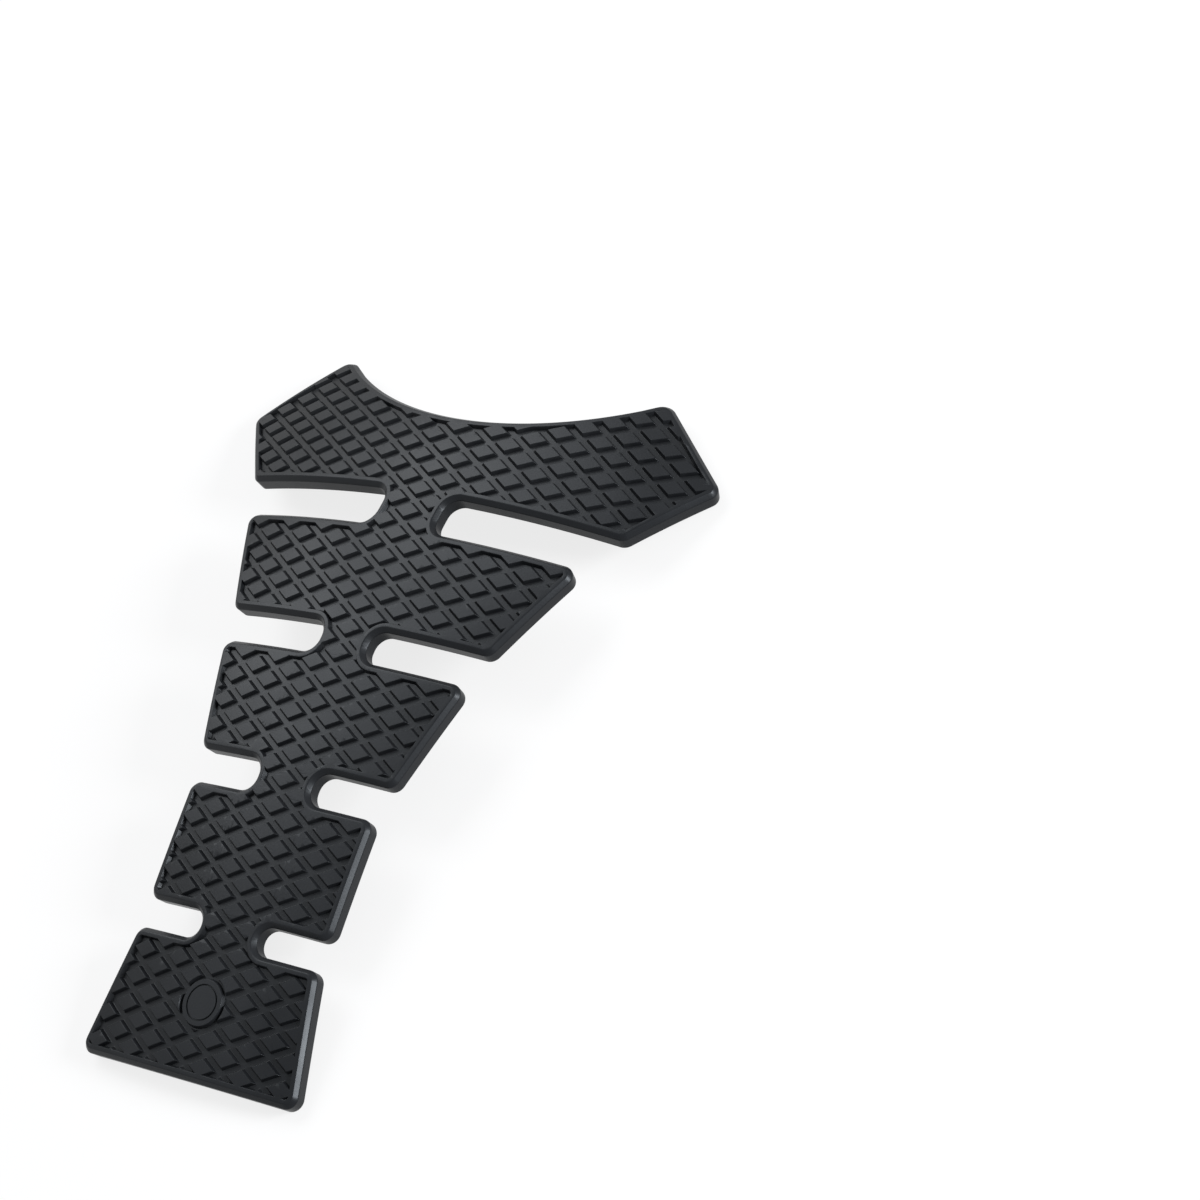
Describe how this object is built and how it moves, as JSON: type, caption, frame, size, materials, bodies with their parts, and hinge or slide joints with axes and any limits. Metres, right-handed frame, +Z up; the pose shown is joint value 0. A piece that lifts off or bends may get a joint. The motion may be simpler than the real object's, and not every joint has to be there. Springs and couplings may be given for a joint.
{
  "type": "motorcycle tank pad",
  "caption": "Moulded rubber tank pad, bent to the tank, with slots cut in from both sides, a hollow front edge and raised diamonds on its grip side.",
  "frame": {"origin": "middle of the pad's footprint, on the plane that its lowest corners rest on", "axes": "+X across the pad, +Y from its narrow back end to its wide front end, +Z up, out of the grip side"},
  "size_m": [0.1444, 0.1912, 0.02],
  "materials": {
    "rubber": "matt to satin black, moulded"
  },
  "bodies": {
    "root": {"tank_pad": "rubber"}
  },
  "joints": []
}
